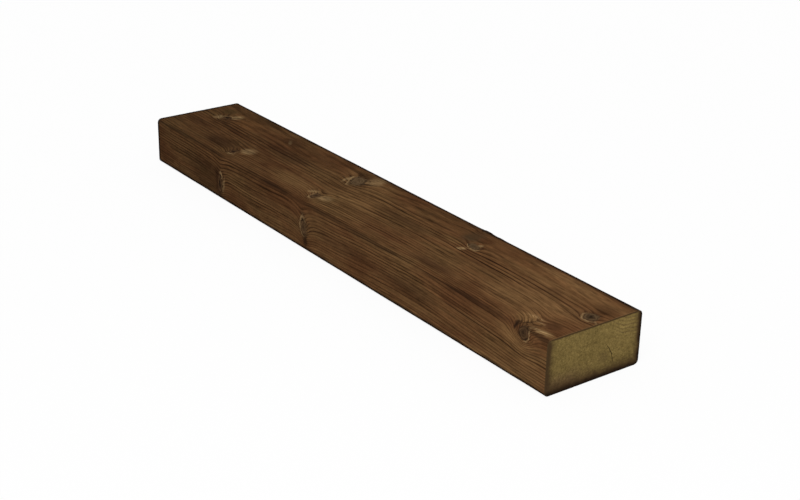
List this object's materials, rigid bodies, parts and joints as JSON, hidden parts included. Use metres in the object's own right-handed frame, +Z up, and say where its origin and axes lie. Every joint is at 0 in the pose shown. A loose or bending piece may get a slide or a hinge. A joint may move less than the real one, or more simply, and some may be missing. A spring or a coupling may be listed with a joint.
{
  "type": "structural timber beam",
  "caption": "Rectangular treated softwood beam with rounded long arrises and square-cut ends, lying on its wide face.",
  "frame": {"origin": "middle of the underside, on the surface that the beam lies on", "axes": "+X along the beam, +Y across its width, +Z up through its depth"},
  "size_m": [1.2, 0.195, 0.095],
  "materials": {
    "treated_softwood": "planed softwood, brown pressure treatment on the faces, olive green on the end grain"
  },
  "bodies": {
    "root": {"beam": "treated_softwood"}
  },
  "joints": []
}
